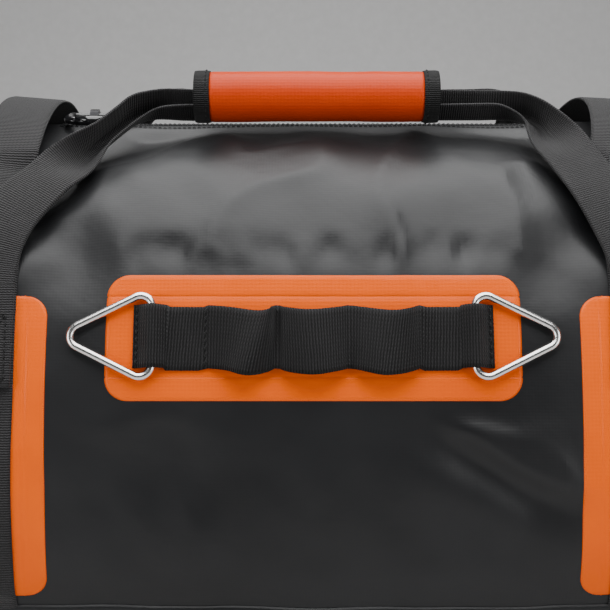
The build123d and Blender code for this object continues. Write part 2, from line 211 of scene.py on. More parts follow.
def dent(x, s):
    """How far the cloth stands in or out of the round section, in metres."""
    down = abs(s)
    on_side = smooth(0.03, 0.12, down) * (1 - smooth(BASE_S - 0.03, BASE_S + 0.03, down))
    above_floor = 1 - smooth(BASE_S - 0.02, BASE_S + 0.05, down)
    near_end = smooth(HALF_L - 0.09, HALF_L - 0.004, abs(x))
    d = 0.0032 * ripple(x, s, 0.17, 1.3) + 0.0034 * ripple(x * 1.1 + s * 0.3, s * 0.8, 0.062, 4.1)
    d += 0.0013 * ripple(x - s * 0.4, s * 0.7, 0.027, 9.7)
    # soft creases wander over the crown and shoulders
    crease = 1 - 2.6 * abs(ripple(x * 0.8 + s * 0.45, s * 0.55 - x * 0.25, 0.052, 12.3))
    d += 0.0022 * max(crease, 0.0) ** 2 * (1 - smooth(0.20, 0.30, down))
    # the cloth sinks towards the straps where they press on it
    inward, run = beside_strap(x, s)
    pressed = smooth(0.010, 0.060, run) * (1 - smooth(0.17, 0.25, run))
    d -= 0.0098 * pressed * hill(inward / (0.043 if inward > 0 else 0.020))
    d -= 0.0022 * bump(x, 0, 0.24) * (1 - smooth(0.05, 0.16, down))
    # the webbing bands draw the cloth in a little
    d -= 0.0022 * bump(abs(x), BAND_X, 0.055) * on_side
    # a soft fold running out and down from the patch's lower right
    if s > 0:
        fold_x, fold_s = x - 0.075, s - (PATCH_S + 0.046)
        along = fold_x * 0.88 + fold_s * 0.47
        across = -fold_x * 0.47 + fold_s * 0.88
        on_fold = smooth(-0.01, 0.03, along) * (1 - smooth(0.07, 0.125, along))
        d += 0.0056 * on_fold * (hill(across / 0.010) - 0.8 * hill((across - 0.017) / 0.013))
        d -= 0.0030 * hill((x + 0.09) / 0.07) * hill((s - PATCH_S - 0.085) / 0.03)
    # gathers in the end seams
    d += 0.0016 * near_end * ripple(x * 0.3, s, 0.018, 6.4)
    d *= above_floor
    # the stiff patches and what hangs on them keep the cloth flat and never let it stand out
    calm = (1 - smooth(0.165, 0.20, abs(x))) * (1 - smooth(0.040, 0.060, abs(down - PATCH_S)))
    d = d * (1 - 0.75 * calm)
    if d > 0:
        d *= 1 - calm
    # puckers over the centre patches
    over_patch = bump(down, PATCH_S - 0.057, 0.019) * (1 - smooth(0.10, 0.14, abs(x)))
    d += 0.0034 * over_patch * (ripple(x, s * 0.25, 0.012, 2.2) - 0.3)
    # hollows above the rings
    d -= 0.0046 * bump(abs(x), 0.150, 0.036) * bump(down, PATCH_S - 0.050, 0.042)
    # the zip lies in a straight slot
    at_zip = (1 - smooth(0.012, 0.035, down)) * (1 - smooth(0.185, 0.215, abs(x + 0.013)))
    # the end seams hold the cloth to the section's own outline
    at_seam = smooth(HALF_L - 0.016, HALF_L - 0.002, abs(x))
    return min(d, 0.0028) * (1 - at_zip) * (1 - at_seam)


def skin(x, s, lift=0.0):
    """A point on the bag's outside, lifted along the section's normal."""
    y, z, ny, nz = around(s)
    out = dent(x, s) + lift
    return Vector((x, y + ny * out, z + nz * out))


# ---- mesh helpers ----


def mesh_object(name, points, faces, uvs=None):
    mesh = bpy.data.meshes.new(name)
    mesh.from_pydata([tuple(p) for p in points], [], faces)
    if uvs:
        layer = mesh.uv_layers.new(name="metres")
        for polygon in mesh.polygons:
            for loop in polygon.loop_indices:
                layer.data[loop].uv = uvs[mesh.loops[loop].vertex_index]
    mesh.validate()
    for polygon in mesh.polygons:
        polygon.use_smooth = True
    obj = bpy.data.objects.new(name, mesh)
    bpy.context.scene.collection.objects.link(obj)
    return obj


def grid_object(name, rows, uv_rows, keep=None, ring=False, tube=False, cap=False):
    """A mesh over rows of points. ring closes each row, tube joins last and first, cap fills the first."""
    count_r, count_c = len(rows), len(rows[0])
    points = [p for row in rows for p in row]
    uvs = [uv for row in uv_rows for uv in row]
    faces = []
    for i in range(count_r if tube else count_r - 1):
        for j in range(count_c if ring else count_c - 1):
            if keep and not keep(i, j):
                continue
            i2, j2 = (i + 1) % count_r, (j + 1) % count_c
            faces.append((i * count_c + j, i2 * count_c + j, i2 * count_c + j2, i * count_c + j2))
    if cap:
        faces.append(tuple(range(count_c)))
    return mesh_object(name, points, faces, uvs)


def sheet(name, first, second, point, uv=lambda a, b: (a, b), **kind):
    """A mesh of point(a, b) over two lists of places, with uv(a, b) as its flat coordinates."""
    rows = [[point(a, b) for b in second] for a in first]
    return grid_object(name, rows, [[uv(a, b) for b in second] for a in first], **kind)


def thicken(obj, thickness):
    """Gives a sheet its thickness inwards, for good."""
    solid = obj.modifiers.new("thickness", "SOLIDIFY")
    solid.thickness = thickness
    solid.offset = -1.0
    solid.use_even_offset = True
    graph = bpy.context.evaluated_depsgraph_get()
    done = bpy.data.meshes.new_from_object(obj.evaluated_get(graph))
    obj.modifiers.clear()
    old = obj.data
    obj.data = done
    bpy.data.meshes.remove(old)
    return obj


def dress(obj, material, body="bag", stands_for=()):
    obj.data.materials.clear()
    obj.data.materials.append(material)
    if body:
        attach(obj, body)
    if stands_for:
        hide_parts(*stands_for)
    return obj


def spread(low, high, count):
    return [low + (high - low) * k / (count - 1) for k in range(count)]


def turn_faces(obj, score):
    """Flips a piece's faces when their score, weighed by area, comes out negative."""
    if sum(score(p) * p.area for p in obj.data.polygons) < 0:
        obj.data.flip_normals()
    return obj


def facing_out(obj):
    """Turns a thin sheet's faces away from the bag's middle before it is thickened."""
    return turn_faces(obj, lambda p: p.normal.y * p.center.y + p.normal.z * (p.center.z - MIDDLE_Z))


def even_normals(obj, weld=False):
    """Makes a closed piece's normals agree, after joining its seams if it has any."""
    work = bmesh.new()
    work.from_mesh(obj.data)
    if weld:
        bmesh.ops.remove_doubles(work, verts=work.verts, dist=1e-6)
    bmesh.ops.recalc_face_normals(work, faces=work.faces)
    work.to_mesh(obj.data)
    work.free()
    return obj


# ---- materials ----


class Nodes:
    """Short calls for one material's node tree."""

    def __init__(self, name):
        self.material = bpy.data.materials.new(name)
        self.material.use_nodes = True
        self.tree = self.material.node_tree
        self.shader = self.tree.nodes["Principled BSDF"]

    def node(self, kind, inputs=None, **settings):
        made = self.tree.nodes.new(kind)
        for key, value in settings.items():
            setattr(made, key, value)
        self.feed(made, inputs or {})
        return made

    def feed(self, node, inputs):
        """Links or sets a node's inputs."""
        for key, value in inputs.items():
            if isinstance(value, bpy.types.NodeSocket):
                self.tree.links.new(value, node.inputs[key])
            else:
                node.inputs[key].default_value = value

    def math(self, operation, a, b=0.0, c=0.0):
        return self.node("ShaderNodeMath", {0: a, 1: b, 2: c}, operation=operation).outputs[0]

    def noise(self, vector, scale, detail=3.0, rough=0.55):
        inputs = {"Vector": vector, "Scale": scale, "Detail": detail, "Roughness": rough}
        return self.node("ShaderNodeTexNoise", inputs).outputs["Fac"]

    def ramp(self, fac, stops):
        made = self.node("ShaderNodeValToRGB", {"Fac": fac})
        while len(made.color_ramp.elements) < len(stops):
            made.color_ramp.elements.new(0.5)
        for element, (place, colour) in zip(made.color_ramp.elements, stops):
            element.position = place
            element.color = (*colour, 1)
        return made.outputs["Color"]

    def spread(self, fac, low, high):
        made = self.node("ShaderNodeMapRange", {"Value": fac, "To Min": low, "To Max": high})
        return made.outputs["Result"]

    def bump(self, height, strength, distance, normal=None):
        inputs = {"Height": height, "Strength": strength, "Distance": distance}
        if normal is not None:
            inputs["Normal"] = normal
        return self.node("ShaderNodeBump", inputs).outputs["Normal"]

    def finish(self, **sockets):
        self.feed(self.shader, {key.replace("_", " "): value for key, value in sockets.items()})
        return self.material


def cloth_place(n):
    """Metres across and along the cloth, from its own flat coordinates."""
    flat = n.node("ShaderNodeUVMap", uv_map="metres").outputs["UV"]
    made = n.node("ShaderNodeSeparateXYZ", {0: flat})
    return made.outputs[0], made.outputs[1]


def wave(n, coordinate, pitch, phase=0.0):
    """A smooth wave from 0 to 1 with the given pitch in metres."""
    turn = n.math("MULTIPLY_ADD", coordinate, 2 * math.pi / pitch, phase)
    return n.math("MULTIPLY_ADD", n.math("SINE", turn), 0.5, 0.5)


def object_place(n):
    return n.node("ShaderNodeTexCoord").outputs["Object"]


def coated_cloth(name, dark, light, rough, scrim, pitch, coat, shine):
    """Tarpaulin: a smooth coating with the woven scrim pressing through."""
    n = Nodes(name)
    place = object_place(n)
    u, v = cloth_place(n)
    wobble = n.math("MULTIPLY", n.noise(place, 60.0, 2.0), 0.0009)
    warp = wave(n, n.math("ADD", u, wobble), pitch)
    weft = wave(n, n.math("ADD", v, wobble), pitch)
    weave = n.math("ADD", n.math("MULTIPLY", weft, 0.7), n.math("MULTIPLY", warp, 0.4))
    grit = n.noise(place, 900.0, 2.0)
    blotch = n.noise(place, 9.0, 4.0, 0.6)
    height = n.math("ADD", weave, n.math("MULTIPLY", grit, 0.35))
    fine = n.bump(height, scrim, 0.0004)
    soft = n.bump(n.noise(place, 45.0, 3.0), 0.12, 0.004, fine)
    colour = n.ramp(blotch, [(0.3, dark), (0.7, light)])
    mottle = n.math("ADD", n.math("MULTIPLY", blotch, 0.7), n.math("MULTIPLY", weave, 0.08))
    return n.finish(
        Base_Color=colour,
        Roughness=n.spread(mottle, *rough),
        Normal=soft,
        Coat_Weight=coat,
        Coat_Roughness=0.14,
        Specular_IOR_Level=shine,
    )


def woven(name, dark, light, rib, strength=0.8, sheen=0.05, shine=0.14):
    """Webbing: ribs across the strap, broken into warp columns."""
    n = Nodes(name)
    u, v = cloth_place(n)
    place = object_place(n)
    slip = n.math("MULTIPLY", n.noise(place, 140.0, 2.0), 0.0008)
    rib_wave = wave(n, n.math("ADD", v, slip), rib)
    column = wave(n, u, 0.0026)
    half_step = wave(n, n.math("ADD", v, n.math("MULTIPLY", column, rib * 0.18)), rib)
    height = n.math("ADD", n.math("MULTIPLY", half_step, 0.8), n.math("MULTIPLY", column, 0.12))
    fuzz = n.noise(place, 1500.0, 2.0)
    full = n.math("ADD", height, n.math("MULTIPLY", fuzz, 0.4))
    patchy = n.noise(place, 30.0, 3.0)
    # the colour is darker in the rib grooves and lighter on the crests, which is painted shade; the patchy
    # part is the webbing's own uneven tone
    groove_shade_and_tone = n.math("ADD", n.math("MULTIPLY", rib_wave, 0.55), n.math("MULTIPLY", patchy, 0.45))
    colour = n.ramp(groove_shade_and_tone, [(0.2, dark), (0.85, light)])
    normal = n.bump(full, strength, 0.0006)
    return n.finish(
        Base_Color=colour,
        Roughness=n.spread(patchy, 0.55, 0.75),
        Normal=normal,
        Sheen_Weight=sheen,
        Sheen_Roughness=0.4,
        Specular_IOR_Level=shine,
    )


def metal(name, colour, rough_low, rough_high):
    """Metal: fine streaks, with faint smudges in its colour."""
    n = Nodes(name)
    place = object_place(n)
    streak = n.noise(place, 400.0, 4.0, 0.6)
    smudge = n.noise(place, 30.0, 3.0)
    tint = n.ramp(smudge, [(0.3, tuple(c * 0.9 for c in colour)), (0.7, colour)])
    normal = n.bump(streak, 0.08, 0.0002)
    rough = n.spread(streak, rough_low, rough_high)
    return n.finish(Base_Color=tint, Metallic=1.0, Roughness=rough, Normal=normal)


def moulded(name, dark, light, rough_low, rough_high, coat=0.0):
    """Plastic, foam and painted ground: speckled, and a little scuffed."""
    n = Nodes(name)
    place = object_place(n)
    speck = n.noise(place, 700.0, 3.0)
    scuff = n.noise(place, 55.0, 4.0)
    colour = n.ramp(scuff, [(0.35, dark), (0.75, light)])
    normal = n.bump(speck, 0.15, 0.0002)
    rough = n.spread(scuff, rough_low, rough_high)
    return n.finish(Base_Color=colour, Roughness=rough, Normal=normal, Coat_Weight=coat)


# each cloth's darker and lighter colour, range of roughness, and then how its scrim and coat look
BLACK = coated_cloth(
    "black_tarpaulin", (0.0055, 0.0057, 0.0063), (0.0095, 0.0098, 0.0107), (0.37, 0.51),
    scrim=0.06, pitch=0.0020, coat=0.0, shine=0.31,
)
ORANGE = coated_cloth(
    "orange_tarpaulin", (0.69, 0.088, 0.0), (0.75, 0.102, 0.0), (0.26, 0.42),
    scrim=0.16, pitch=0.0024, coat=0.09, shine=0.05,
)
# the wrap's orange-red is darkened well below the patches' orange: painted shade
SHADED_WRAP_ORANGE = coated_cloth(
    "orange_wrap_painted_shade", (0.42, 0.030, 0.001), (0.50, 0.040, 0.001), (0.40, 0.55),
    scrim=0.2, pitch=0.0024, coat=0.05, shine=0.12,
)
WEB = woven("strap_webbing", (0.004, 0.0038, 0.004), (0.026, 0.025, 0.026), 0.0016, 0.9, 0.12, 0.2)
CHAIN_WEB = woven("chain_webbing", (0.002, 0.0019, 0.002), (0.019, 0.0185, 0.019), 0.0019, 1.0, 0.04)
BINDING = woven("binding_tape", (0.003, 0.003, 0.003), (0.012, 0.012, 0.012), 0.0014)
THREAD = woven("sewing_thread", (0.004, 0.004, 0.004), (0.016, 0.016, 0.016), 0.0009, 0.5, 0.1)
STEEL = metal("ring_steel", (0.80, 0.79, 0.77), 0.14, 0.30)
ZIP_METAL = metal("slider_metal", (0.02, 0.02, 0.021), 0.16, 0.28)
GLOSS = moulded("puller_gloss", (0.006, 0.006, 0.0065), (0.012, 0.012, 0.013), 0.10, 0.22, 0.5)
TEETH = moulded("zip_teeth", (0.012, 0.012, 0.013), (0.03, 0.03, 0.032), 0.3, 0.5)
TAPE = woven("zip_tape", (0.010, 0.010, 0.011), (0.024, 0.024, 0.025), 0.0011, 0.6, 0.2)
BOARD = moulded("board_plastic", (0.06, 0.06, 0.06), (0.10, 0.10, 0.10), 0.5, 0.7)
FOAM = moulded("grip_foam", (0.03, 0.03, 0.03), (0.06, 0.06, 0.06), 0.8, 0.95)
POUCH = woven("pouch_cloth", (0.10, 0.11, 0.12), (0.18, 0.19, 0.20), 0.0012, 0.5)

# ---- camera: looks level along the bag's middle, a little down, at the centre patch ----

PITCH = math.radians(11)
DISTANCE = 0.70
FOCAL_PX = 1120
FRAME_PX = 610
patch_y, patch_z, _, _ = around(PATCH_S)
forward = Vector((0, math.cos(PITCH), -math.sin(PITCH)))
upward = Vector((0, math.sin(PITCH), math.cos(PITCH)))
camera_data = bpy.data.cameras.new("camera")
camera_data.sensor_width = 36
camera_data.lens = 36 * FOCAL_PX / FRAME_PX
camera = bpy.data.objects.new("camera", camera_data)
bpy.context.scene.collection.objects.link(camera)
camera.location = Vector((-0.0053, patch_y, patch_z)) - forward * DISTANCE + upward * 0.020
camera.rotation_euler = (math.radians(90) - PITCH, 0, 0)
bpy.context.scene.camera = camera

# ---- bag body ----

zip_slot_left, zip_slot_right = tape_low.x - 0.001, tape_high.x + 0.001
SLOT_HALF = 0.011

body_s = sorted({*spread(-BASE_S - 0.06, BASE_S + 0.06, 250), -SLOT_HALF, SLOT_HALF})
body_x = sorted({*spread(-HALF_L + 0.0008, HALF_L - 0.0008, 150), zip_slot_left, zip_slot_right})


def outside_slot(i, j):
    x = (body_x[i] + body_x[i + 1]) / 2
    s = (body_s[j] + body_s[j + 1]) / 2
    return not (zip_slot_left < x < zip_slot_right and abs(s) < SLOT_HALF)


body = sheet("body_shell", body_x, body_s, skin, keep=outside_slot)
thicken(facing_out(body), 1.2 * MM)
dress(body, BLACK, "bag", ["body_wrap"])

base_s = spread(BASE_S - 0.001, 2 * HALF_GIRTH - BASE_S + 0.001, 140)


def base_lift(s):
    edge = min(s - base_s[0], base_s[-1] - s)
    return 2.3 * MM * smooth(-0.0005, 0.004, edge) + 0.0001


def wrapped(s):
    return s if s <= HALF_GIRTH else s - 2 * HALF_GIRTH


base_x = spread(-HALF_L + 0.004, HALF_L - 0.004, 100)
base = sheet("base_shell", base_x, base_s, lambda x, s: skin(x, wrapped(s), base_lift(s)))
thicken(facing_out(base), 1.6 * MM)
dress(base, BLACK, "bag", ["base_panel"])

# ---- ends ----

PIPING_SIDES = 10
girth_s = spread(-HALF_GIRTH, HALF_GIRTH, 221)[:-1]


def end_point(way, s, share, out=0.0):
    """A point on an end panel: share 1 is its seam, 0 its middle."""
    y, z, ny, nz = around(s)
    rim = Vector((0, y - ny * 2 * MM, z - nz * 2 * MM))
    middle = Vector((0, 0, MIDDLE_Z))
    p = middle + (rim - middle) * share
    puff = 0.0085 * (1 - share**3) * (1 + 0.35 * ripple(p.y, p.z, 0.09, 3.0 + way))
    crease = 0.0012 * smooth(0.55, 0.95, share) * ripple(s, way, 0.022, 5.5)
    return Vector((way * (HALF_L - 0.0008 + puff + crease + out), p.y, p.z))


shares = [math.sin(t * math.pi / 2) for t in spread(0.02, 1, 28)]
for end, way in ENDS:
    rows = [[end_point(way, s, share) for s in girth_s] for share in shares]
    uv_rows = [[(p.y, p.z) for p in row] for row in rows]
    panel = even_normals(grid_object(f"end_shell_{end}", rows, uv_rows, ring=True, cap=True))
    thicken(turn_faces(panel, lambda p: p.normal.x * way), 1.2 * MM)
    dress(panel, BLACK, "bag", [f"end_panel_{end}"])

    def on_piping(s, k):
        y, z, ny, nz = around(s)
        centre = Vector((way * (HALF_L + 1.4 * MM), y - ny * 0.9 * MM, z - nz * 0.9 * MM))
        a = 2 * math.pi * k / PIPING_SIDES
        r = 2.5 * MM * (1 + 0.06 * ripple(s, k, 0.01, way))
        return centre + Vector((math.cos(a), ny * math.sin(a), nz * math.sin(a))) * r

    piping = sheet(
        f"piping_{end}", girth_s, range(PIPING_SIDES), on_piping,
        lambda s, k: (k * 1.5 * MM, s), ring=True, tube=True,
    )
    if way < 0:
        piping.data.flip_normals()
    dress(piping, BINDING, "bag", [f"end_piping_{end}"])

# ---- patches ----


def rounded_rows(width, low, high, corner, step, extra):
    """Rows along one axis with the half width that rounds the corners off."""
    count = max(int((high - low) / step), 4)
    stops = {round(v, 6) for v in spread(low, high, count)} | {round(v, 6) for v in extra}
    for k in range(9):
        cut = corner * (1 - math.cos(math.radians(k * 90 / 8)))
        stops |= {round(low + cut, 6), round(high - cut, 6)}
    made = []
    for v in sorted(stops):
        inset = max(corner - (v - low), corner - (high - v), 0.0)
        made.append((v, width / 2 - corner + math.sqrt(max(corner**2 - inset**2, 0.0))))
    return made


PATCH_CORNER = 14 * MM
PATCH_CLOTH = 0.6 * MM
WELD = 0.35 * MM


def welded_patch(name, place, middle, width, low, high, welds, columns, rows_at=(), depth=WELD):
    """A patch on the surface place(a, b, lift), thin at its edges and pressed in along its welds."""
    rows, uv_rows = [], []
    for b, half in rounded_rows(width, low, high, PATCH_CORNER, 0.004, rows_at):
        row, uv_row = [], []
        for u in spread(-1, 1, columns):
            a = middle + u * half
            edge = min(half * (1 - abs(u)), b - low, high - b)
            lift = 0.15 * MM + 0.7 * MM * smooth(-0.0002, 0.0016, edge)
            for off in welds(a, b):
                lift -= depth * (1 - smooth(0.0002, 0.0011, abs(off)))
            row.append(place(a, b, lift))
            uv_row.append((a, b))
        rows.append(row)
        uv_rows.append(uv_row)
    return grid_object(name, rows, uv_rows)


PATCH_L = patch_high.x - patch_low.x
PATCH_HALF = 40 * MM
SIDE_W = side_high.x - side_low.x
SIDE_TOP, SIDE_END = run_of_height(side_high.z), run_of_height(side_low.z)
RUN_WELDS = (PATCH_S - 0.0258, PATCH_S + 0.0252)
WELD_ROWS = [s + off for s in RUN_WELDS for off in (-0.0006, 0, 0.0006)]
for face, sign in FACES:

    def on_skin(x, s, lift):
        return skin(x, sign * s, lift)

    patch = welded_patch(
        f"{face}_centre_patch", on_skin, 0, PATCH_L, PATCH_S - PATCH_HALF, PATCH_S + PATCH_HALF,
        lambda x, s: [s - weld for weld in RUN_WELDS], 130, WELD_ROWS,
    )
    thicken(facing_out(patch), PATCH_CLOTH)
    dress(patch, ORANGE, "bag", [f"{face}_patch"])
    for end, way in ENDS:
        middle = way * BAND_X
        patch = welded_patch(
            f"{face}_side_patch_{end}_cloth", on_skin, middle, SIDE_W, SIDE_TOP, SIDE_END,
            lambda x, s: (x - middle + 27 * MM, x - middle - 27 * MM), 90,
        )
        thicken(facing_out(patch), PATCH_CLOTH)
        dress(patch, ORANGE, "bag", [f"{face}_side_patch_{end}"])


# ---- webbing bands over the bag ----


def selvedge(u):
    """Webbing is thinner at its two edges."""
    return 1 - 0.45 * smooth(0.86, 1.0, abs(u))


LOOSE_S = run_of_lean(math.radians(58))
BAND_SLACK = 18 * MM


def band_hump(s):
    """How far the loose stretch of a band over the crown stands up from it."""
    t = min(abs(s) / LOOSE_S, 1.0)
    return BAND_SLACK * (1 - t * t) ** 2 * (1 + 0.9 * t * t)


def band_lift(s):
    down = abs(s)
    on_patch = smooth(SIDE_TOP - 0.004, SIDE_TOP + 0.002, down)
    on_patch *= 1 - smooth(SIDE_END - 0.002, SIDE_END + 0.004, down)
    return (0.15 + 0.9 * on_patch) * MM + band_hump(s)


def band_point(way, s, u):
    """A point of a band at u over its width: on the cloth, or off the plain section where it is loose."""
    share = band_hump(s) / BAND_SLACK
    # the loose stretches have slid outwards, one more than the other
    slide, tilt = (14 * MM, -0.05) if way > 0 else (1 * MM, -0.08)
    x = way * BAND_X + u * WEB_W / 2 + (0.0009 * ripple(s, way, 0.11, 2.5) + slide * share)
    lift = band_lift(s) + 1.45 * MM * selvedge(u) + tilt * share * u * WEB_W / 2
    y, z, ny, nz = around(s)
    out = dent(x, s) * (1 - smooth(0, 3 * MM, band_hump(s))) + lift
    return Vector((x, y + ny * out, z + nz * out))


band_s = spread(-BASE_S - 0.004, BASE_S + 0.004, 330)
for end, way in ENDS:
    band = sheet(
        f"band_{end}_webbing", band_s, spread(-1, 1, 17),
        lambda s, u: band_point(way, s, u), lambda s, u: (u * WEB_W / 2, s),
    )
    thicken(facing_out(band), 1.3 * MM)
    dress(band, WEB, "bag", [f"band_{end}"])

# ---- strips, stitches and tubes ----


def selvedge_drop(u):
    return 0.35 * MM * smooth(0.86, 1, abs(u))


def bowed_section(half, bow):
    """A strap's cross-section as places across and out, with the place across again for its weave."""
    return [(u * half, bow * (1 - u * u) - selvedge_drop(u), u * half) for u in spread(-1, 1, 13)]


def folded_section(half, fold, crease, count=21, soft=0.35):
    """A strap folded lengthwise by an angle about a soft crease at a share of its width."""
    step = 2 * half / (count - 1)
    points, angle = [(0.0, 0.0)], 0.0
    for k in range(1, count):
        u = -1 + 2 * (k - 0.5) / (count - 1)
        angle = fold * smooth(crease - soft, crease + soft, u) - fold * 0.35
        a, b = points[-1]
        points.append((a + step * math.cos(angle), b + step * math.sin(angle)))
    middle_a = (points[0][0] + points[-1][0]) / 2
    middle_b = (points[0][1] + points[-1][1]) / 2
    return [(a - middle_a, b - middle_b, -half + step * k) for k, (a, b) in enumerate(points)]


def path_lengths(stations):
    lengths = [0.0]
    for a, b in zip(stations, stations[1:]):
        lengths.append(lengths[-1] + (b[0] - a[0]).length)
    return lengths


def webbing_strip(name, stations, sections, thickness):
    """Webbing through stations of (centre, across, out), each with its own cross-section."""
    rows, uv_rows = [], []
    for (centre, across, out), section, v in zip(stations, sections, path_lengths(stations)):
        rows.append([centre + across * a + out * b for a, b, _ in section])
        uv_rows.append([(u, v) for _, _, u in section])
    columns = len(rows[0])
    made = grid_object(name, rows, uv_rows)
    turn_faces(made, lambda p: p.normal.dot(stations[min(p.vertices) // columns][2]))
    return thicken(made, thickness)


# a stitch's rings: how far along, how high in millimetres, and how thick
STITCH_RINGS = (
    (0.0, -0.3, 0.7),
    (0.15, 0.25, 1.0),
    (0.5, 0.45, 1.08),
    (0.85, 0.25, 1.0),
    (1.0, -0.3, 0.7),
)
SIDES = 6


def sew(name, stitches, radius=0.42 * MM, body="bag", stands_for=()):
    """Thread stitches: each runs from a point to another and stands up along a normal."""
    points, faces = [], []
    for start, stop, up in stitches:
        along = (stop - start).normalized()
        across = along.cross(up).normalized()
        first = len(points)
        for t, lift, size in STITCH_RINGS:
            centre = start.lerp(stop, t) + up * lift * MM
            for k in range(SIDES):
                a = 2 * math.pi * k / SIDES
                around_thread = across * math.cos(a) + up * math.sin(a) * 0.8
                points.append(centre + around_thread * radius * size)
        last = len(points) - SIDES
        for ring in range(first, last, SIDES):
            for k in range(SIDES):
                a, b = ring + k, ring + (k + 1) % SIDES
                faces.append((a, b, b + SIDES, a + SIDES))
        faces.append(tuple(first + k for k in reversed(range(SIDES))))
        faces.append(tuple(last + k for k in range(SIDES)))
    thread = even_normals(mesh_object(name, points, faces, [(p.x, p.y + p.z) for p in points]))
    dress(thread, THREAD, body, stands_for)


def stitch_line(place, start, stop, pitch, share=0.72):
    """Stitches along a straight run on a surface, where place(a, b) gives a point and its normal."""
    (a0, b0), (a1, b1) = start, stop
    length = math.hypot(a1 - a0, b1 - b0)
    count = max(int(length / pitch), 1)
    made = []
    for k in range(count):
        t0, t1 = (k + (1 - share) / 2) / count, (k + (1 + share) / 2) / count
        p0, normal = place(a0 + (a1 - a0) * t0, b0 + (b1 - b0) * t0)
        p1, _ = place(a0 + (a1 - a0) * t1, b0 + (b1 - b0) * t1)
        made.append((p0, p1, normal))
    return made


def box_stitches(place, left, right, low, high, pitch):
    """A stitched box with a cross in it."""
    runs = (
        ((left, low), (right, low)),
        ((right, low), (right, high)),
        ((right, high), (left, high)),
        ((left, high), (left, low)),
        ((left, low), (right, high)),
        ((right, low), (left, high)),
    )
    return [stitch for start, stop in runs for stitch in stitch_line(place, start, stop, pitch)]


# ---- daisy chains ----

CELL = 45 * MM
CHAIN_HALF = 112.5 * MM
BAR_X = 100.5 * MM
BAR_LIFT = 3.7 * MM
PATCH_T = 0.8 * MM
CHAIN_T = 1.5 * MM
CHAIN_W = 40 * MM


def face_frame(sign):
    """Origin of the plane that touches the centre patch, and its axes along, up the slope and out."""
    y, z, ny, nz = around(sign * PATCH_S)
    out = Vector((0, ny, nz))
    along = Vector((1, 0, 0))
    up = Vector((0, -ny * nz, ny * ny)).normalized()
    return Vector((0, y, z)), along, up, out


# the three open loops: how far each stands off, how late it peaks, and how far its crest leans
LOOP_RISE = {-1: 10.6 * MM, 0: 11.0 * MM, 1: 9.6 * MM}
LOOP_LATE = {-1: 2.1, 0: 0.85, 1: 1.2}
LOOP_LEAN = {-1: 0.16, 0: -0.05, 1: 0.10}


def loop_rise(cell, t):
    """A loop's height above the patch from 0 to 1, along its cell."""
    t = min(max(t, 0.0), 1.0)
    return math.sin(math.pi * t ** LOOP_LATE[cell]) ** 0.8


def chain_stations():
    """The webbing's middle line: places along x and away from the patch, and how far each may sag."""
    flat = PATCH_T + 0.15 * MM + CHAIN_T
    line = [(x, flat, 0.0) for x in spread(-CHAIN_HALF, -BAR_X - 10 * MM, 4)]
    over = BAR_LIFT + 3.3 * MM + CHAIN_T
    for k in range(1, 12):
        t = k / 12
        x = -BAR_X + 10 * MM * (2 * t - 1)
        line.append((x, flat + (over - flat) * math.sin(math.pi * t) ** 1.3, 0.0))
    for x in spread(-BAR_X + 10 * MM, -1.5 * CELL - 2.6 * MM, 6):
        line.append((x, flat + 0.35 * MM * math.sin((x + BAR_X) * 200), 0.3))
    for cell in (-1, 0, 1):
        for k in range(23):
            t = k / 22
            x = (cell - 0.5) * CELL + 1.5 * MM + (CELL - 3 * MM) * t
            up = loop_rise(cell, t)
            x += 1.26 * MM * math.sin(2 * math.pi * t)
            line.append((x, flat + LOOP_RISE[cell] * up, up))
    right = [(-x, n, sag) for x, n, sag in line[:21]]
    return line + right[::-1]


def chain_piece(face, sign):
    origin, along, up, out = face_frame(sign)
    stations, rows, uv_rows = [], [], []
    length, last = 0.0, None
    for x, n, sag in chain_stations():
        if last:
            length += math.hypot(x - last[0], n - last[1])
        last = (x, n)
        # only the middle drifts: the rings need the ends straight
        drift = 0.9 * MM * ripple(x, sign, 0.05, 1.1) - 0.6 * MM
        drift *= 1 - smooth(0.056, 0.074, abs(x))
        place = origin + along * x + up * (drift - 4.4 * MM * sag)
        stations.append(place + out * n)
        cell = min(max(round(x / CELL), -1), 1)
        t = x / CELL - cell + 0.5
        row = []
        for u in spread(-1, 1, 13):
            stand = n - selvedge_drop(u)
            if 0 < t < 1:
                # a loop's crest leans, and its lower edge hangs a little further out
                leaning = loop_rise(cell, t - LOOP_LEAN[cell] * u * sag)
                stand += LOOP_RISE[cell] * (leaning - sag) - 0.8 * MM * sag * u
            side = 28 * MM * LOOP_LEAN[cell] * sag * u
            climb = u * CHAIN_W / 2 * (1 + 0.025 * sag)
            row.append(place + along * side + out * stand + up * climb)
        rows.append(row)
        uv_rows.append([(u * CHAIN_W / 2, length) for u in spread(-1, 1, 13)])
    piece = grid_object(f"{face}_chain_webbing", rows, uv_rows)
    thicken(turn_faces(piece, lambda p: p.normal.dot(out)), CHAIN_T)
    dress(piece, CHAIN_WEB, "bag", [f"{face}_chain"])

    def at(x, u):
        nearest = min(stations, key=lambda place: abs((place - origin).dot(along) - x))
        drop = (nearest - origin).dot(up)
        n = (nearest - origin).dot(out)
        return origin + along * x + up * (u + drop) + out * (n + 0.1 * MM), out

    stitches = []
    hem = CHAIN_HALF - 2.2 * MM
    for x in (-1.5 * CELL, -0.5 * CELL, 0.5 * CELL, 1.5 * CELL, -hem, hem):
        for k in range(8):
            u = (k - 3.5) * 4.7 * MM
            for tilt in (-1, 1):
                p0, normal = at(x - 0.75 * MM, u - tilt * 1.5 * MM)
                p1, _ = at(x + 0.75 * MM, u + tilt * 1.5 * MM)
                stitches.append((p0, p1, normal))
    sew(f"{face}_chain_tacks", stitches, 0.38 * MM, stands_for=[f"{face}_chain_stitching"])


for face, sign in FACES:
    chain_piece(face, sign)

# ---- handles ----


